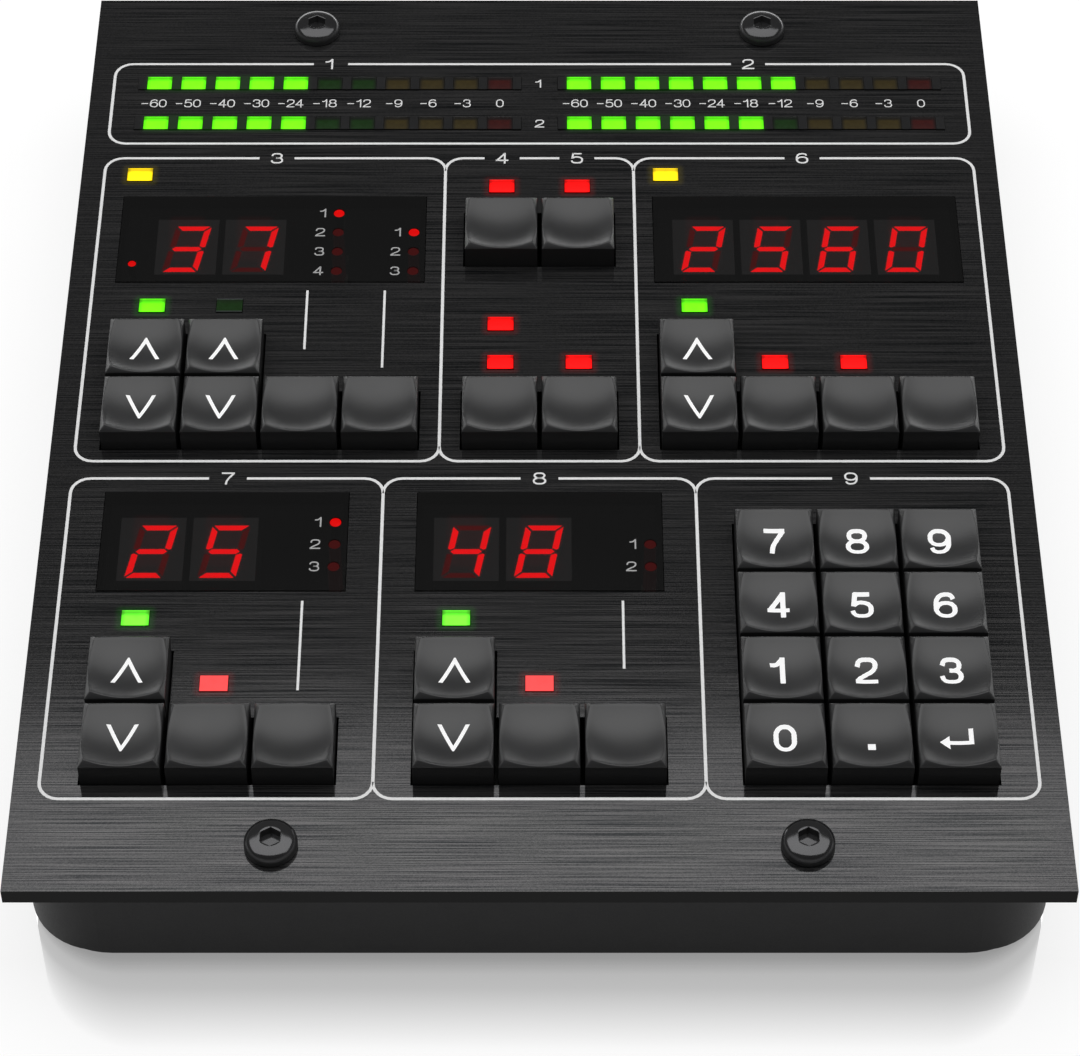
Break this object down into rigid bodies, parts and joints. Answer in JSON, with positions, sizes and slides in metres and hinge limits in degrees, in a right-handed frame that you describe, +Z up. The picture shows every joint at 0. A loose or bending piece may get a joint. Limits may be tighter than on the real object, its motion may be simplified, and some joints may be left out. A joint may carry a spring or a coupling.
{
  "type": "delay pedal",
  "caption": "Desktop delay controller: brushed faceplate on a low base, square keys that press, red digits behind dark windows, level meter lamps and socket bolts.",
  "frame": {"origin": "on the table, under the middle of the object", "axes": "+X to the right of the user, +Y away from the user, +Z up"},
  "size_m": [0.135, 0.167, 0.0255],
  "materials": {
    "base": "black, fine texture",
    "screws": "plated steel",
    "chip_lamps": "clear",
    "chips": "black",
    "digits": "dark grey face with red segments",
    "faceplate": "black anodised, brushed along X",
    "green_lamps": "diffused green",
    "switches": "dark plastic",
    "keys": "black, satin",
    "board": "green circuit board",
    "meter_frames": "black",
    "amber_lamps": "diffused amber",
    "red_lamps": "diffused red",
    "windows": "smoked, clear",
    "bolts": "glossy black",
    "rubber": "black rubber",
    "inserts": "plain brass",
    "socket": "plated steel",
    "yellow_lamps": "diffused yellow"
  },
  "bodies": {
    "chassis": {"base_tub": "base", "board_screws": "screws", "chip_leds": "chip_lamps", "controller_chip": "chips", "digit_modules": "digits", "driver_chips": "chips", "faceplate": "faceplate", "green_light_pipes": "green_lamps", "key_switches": "switches", "main_board": "board", "meter_frames": "meter_frames", "meter_lenses_amber": "amber_lamps", "meter_lenses_green": "green_lamps", "meter_lenses_red": "red_lamps", "narrow_windows": "windows", "panel_bolts": "bolts", "red_light_pipes": "red_lamps", "rubber_feet": "rubber", "threaded_inserts": "inserts", "usb_socket": "socket", "wide_windows": "windows", "window_light_pipes": "red_lamps", "yellow_light_pipes": "yellow_lamps"},
    "keypad_0_key_body": {"keypad_0_key": "keys"},
    "keypad_1_key_body": {"keypad_1_key": "keys"},
    "keypad_2_key_body": {"keypad_2_key": "keys"},
    "keypad_3_key_body": {"keypad_3_key": "keys"},
    "keypad_4_key_body": {"keypad_4_key": "keys"},
    "keypad_5_key_body": {"keypad_5_key": "keys"},
    "keypad_6_key_body": {"keypad_6_key": "keys"},
    "keypad_7_key_body": {"keypad_7_key": "keys"},
    "keypad_8_key_body": {"keypad_8_key": "keys"},
    "keypad_9_key_body": {"keypad_9_key": "keys"},
    "keypad_point_key_body": {"keypad_point_key": "keys"},
    "keypad_return_key_body": {"keypad_return_key": "keys"},
    "lower_left_down_key_body": {"lower_left_down_key": "keys"},
    "lower_left_select_key_1_body": {"lower_left_select_key_1": "keys"},
    "lower_left_select_key_2_body": {"lower_left_select_key_2": "keys"},
    "lower_left_up_key_body": {"lower_left_up_key": "keys"},
    "lower_middle_down_key_body": {"lower_middle_down_key": "keys"},
    "lower_middle_select_key_1_body": {"lower_middle_select_key_1": "keys"},
    "lower_middle_select_key_2_body": {"lower_middle_select_key_2": "keys"},
    "lower_middle_up_key_body": {"lower_middle_up_key": "keys"},
    "upper_left_down_key_1_body": {"upper_left_down_key_1": "keys"},
    "upper_left_down_key_2_body": {"upper_left_down_key_2": "keys"},
    "upper_left_select_key_1_body": {"upper_left_select_key_1": "keys"},
    "upper_left_select_key_2_body": {"upper_left_select_key_2": "keys"},
    "upper_left_up_key_1_body": {"upper_left_up_key_1": "keys"},
    "upper_left_up_key_2_body": {"upper_left_up_key_2": "keys"},
    "upper_middle_back_key_1_body": {"upper_middle_back_key_1": "keys"},
    "upper_middle_back_key_2_body": {"upper_middle_back_key_2": "keys"},
    "upper_middle_front_key_1_body": {"upper_middle_front_key_1": "keys"},
    "upper_middle_front_key_2_body": {"upper_middle_front_key_2": "keys"},
    "upper_right_down_key_body": {"upper_right_down_key": "keys"},
    "upper_right_select_key_1_body": {"upper_right_select_key_1": "keys"},
    "upper_right_select_key_2_body": {"upper_right_select_key_2": "keys"},
    "upper_right_select_key_3_body": {"upper_right_select_key_3": "keys"},
    "upper_right_up_key_body": {"upper_right_up_key": "keys"}
  },
  "joints": [
    {"name": "keypad_0_key_press", "type": "slide", "parent": "chassis", "child": "keypad_0_key_body", "axis": [0, 0, -1], "range_m": [0, 0.0011], "stiffness_N_per_m": 1250},
    {"name": "keypad_1_key_press", "type": "slide", "parent": "chassis", "child": "keypad_1_key_body", "axis": [0, 0, -1], "range_m": [0, 0.0011], "stiffness_N_per_m": 1250},
    {"name": "keypad_2_key_press", "type": "slide", "parent": "chassis", "child": "keypad_2_key_body", "axis": [0, 0, -1], "range_m": [0, 0.0011], "stiffness_N_per_m": 1250},
    {"name": "keypad_3_key_press", "type": "slide", "parent": "chassis", "child": "keypad_3_key_body", "axis": [0, 0, -1], "range_m": [0, 0.0011], "stiffness_N_per_m": 1250},
    {"name": "keypad_4_key_press", "type": "slide", "parent": "chassis", "child": "keypad_4_key_body", "axis": [0, 0, -1], "range_m": [0, 0.0011], "stiffness_N_per_m": 1250},
    {"name": "keypad_5_key_press", "type": "slide", "parent": "chassis", "child": "keypad_5_key_body", "axis": [0, 0, -1], "range_m": [0, 0.0011], "stiffness_N_per_m": 1250},
    {"name": "keypad_6_key_press", "type": "slide", "parent": "chassis", "child": "keypad_6_key_body", "axis": [0, 0, -1], "range_m": [0, 0.0011], "stiffness_N_per_m": 1250},
    {"name": "keypad_7_key_press", "type": "slide", "parent": "chassis", "child": "keypad_7_key_body", "axis": [0, 0, -1], "range_m": [0, 0.0011], "stiffness_N_per_m": 1250},
    {"name": "keypad_8_key_press", "type": "slide", "parent": "chassis", "child": "keypad_8_key_body", "axis": [0, 0, -1], "range_m": [0, 0.0011], "stiffness_N_per_m": 1250},
    {"name": "keypad_9_key_press", "type": "slide", "parent": "chassis", "child": "keypad_9_key_body", "axis": [0, 0, -1], "range_m": [0, 0.0011], "stiffness_N_per_m": 1250},
    {"name": "keypad_point_key_press", "type": "slide", "parent": "chassis", "child": "keypad_point_key_body", "axis": [0, 0, -1], "range_m": [0, 0.0011], "stiffness_N_per_m": 1250},
    {"name": "keypad_return_key_press", "type": "slide", "parent": "chassis", "child": "keypad_return_key_body", "axis": [0, 0, -1], "range_m": [0, 0.0011], "stiffness_N_per_m": 1250},
    {"name": "lower_left_down_key_press", "type": "slide", "parent": "chassis", "child": "lower_left_down_key_body", "axis": [0, 0, -1], "range_m": [0, 0.0011], "stiffness_N_per_m": 1250},
    {"name": "lower_left_select_key_1_press", "type": "slide", "parent": "chassis", "child": "lower_left_select_key_1_body", "axis": [0, 0, -1], "range_m": [0, 0.0011], "stiffness_N_per_m": 1250},
    {"name": "lower_left_select_key_2_press", "type": "slide", "parent": "chassis", "child": "lower_left_select_key_2_body", "axis": [0, 0, -1], "range_m": [0, 0.0011], "stiffness_N_per_m": 1250},
    {"name": "lower_left_up_key_press", "type": "slide", "parent": "chassis", "child": "lower_left_up_key_body", "axis": [0, 0, -1], "range_m": [0, 0.0011], "stiffness_N_per_m": 1250},
    {"name": "lower_middle_down_key_press", "type": "slide", "parent": "chassis", "child": "lower_middle_down_key_body", "axis": [0, 0, -1], "range_m": [0, 0.0011], "stiffness_N_per_m": 1250},
    {"name": "lower_middle_select_key_1_press", "type": "slide", "parent": "chassis", "child": "lower_middle_select_key_1_body", "axis": [0, 0, -1], "range_m": [0, 0.0011], "stiffness_N_per_m": 1250},
    {"name": "lower_middle_select_key_2_press", "type": "slide", "parent": "chassis", "child": "lower_middle_select_key_2_body", "axis": [0, 0, -1], "range_m": [0, 0.0011], "stiffness_N_per_m": 1250},
    {"name": "lower_middle_up_key_press", "type": "slide", "parent": "chassis", "child": "lower_middle_up_key_body", "axis": [0, 0, -1], "range_m": [0, 0.0011], "stiffness_N_per_m": 1250},
    {"name": "upper_left_down_key_1_press", "type": "slide", "parent": "chassis", "child": "upper_left_down_key_1_body", "axis": [0, 0, -1], "range_m": [0, 0.0011], "stiffness_N_per_m": 1250},
    {"name": "upper_left_down_key_2_press", "type": "slide", "parent": "chassis", "child": "upper_left_down_key_2_body", "axis": [0, 0, -1], "range_m": [0, 0.0011], "stiffness_N_per_m": 1250},
    {"name": "upper_left_select_key_1_press", "type": "slide", "parent": "chassis", "child": "upper_left_select_key_1_body", "axis": [0, 0, -1], "range_m": [0, 0.0011], "stiffness_N_per_m": 1250},
    {"name": "upper_left_select_key_2_press", "type": "slide", "parent": "chassis", "child": "upper_left_select_key_2_body", "axis": [0, 0, -1], "range_m": [0, 0.0011], "stiffness_N_per_m": 1250},
    {"name": "upper_left_up_key_1_press", "type": "slide", "parent": "chassis", "child": "upper_left_up_key_1_body", "axis": [0, 0, -1], "range_m": [0, 0.0011], "stiffness_N_per_m": 1250},
    {"name": "upper_left_up_key_2_press", "type": "slide", "parent": "chassis", "child": "upper_left_up_key_2_body", "axis": [0, 0, -1], "range_m": [0, 0.0011], "stiffness_N_per_m": 1250},
    {"name": "upper_middle_back_key_1_press", "type": "slide", "parent": "chassis", "child": "upper_middle_back_key_1_body", "axis": [0, 0, -1], "range_m": [0, 0.0011], "stiffness_N_per_m": 1250},
    {"name": "upper_middle_back_key_2_press", "type": "slide", "parent": "chassis", "child": "upper_middle_back_key_2_body", "axis": [0, 0, -1], "range_m": [0, 0.0011], "stiffness_N_per_m": 1250},
    {"name": "upper_middle_front_key_1_press", "type": "slide", "parent": "chassis", "child": "upper_middle_front_key_1_body", "axis": [0, 0, -1], "range_m": [0, 0.0011], "stiffness_N_per_m": 1250},
    {"name": "upper_middle_front_key_2_press", "type": "slide", "parent": "chassis", "child": "upper_middle_front_key_2_body", "axis": [0, 0, -1], "range_m": [0, 0.0011], "stiffness_N_per_m": 1250},
    {"name": "upper_right_down_key_press", "type": "slide", "parent": "chassis", "child": "upper_right_down_key_body", "axis": [0, 0, -1], "range_m": [0, 0.0011], "stiffness_N_per_m": 1250},
    {"name": "upper_right_select_key_1_press", "type": "slide", "parent": "chassis", "child": "upper_right_select_key_1_body", "axis": [0, 0, -1], "range_m": [0, 0.0011], "stiffness_N_per_m": 1250},
    {"name": "upper_right_select_key_2_press", "type": "slide", "parent": "chassis", "child": "upper_right_select_key_2_body", "axis": [0, 0, -1], "range_m": [0, 0.0011], "stiffness_N_per_m": 1250},
    {"name": "upper_right_select_key_3_press", "type": "slide", "parent": "chassis", "child": "upper_right_select_key_3_body", "axis": [0, 0, -1], "range_m": [0, 0.0011], "stiffness_N_per_m": 1250},
    {"name": "upper_right_up_key_press", "type": "slide", "parent": "chassis", "child": "upper_right_up_key_body", "axis": [0, 0, -1], "range_m": [0, 0.0011], "stiffness_N_per_m": 1250}
  ]
}
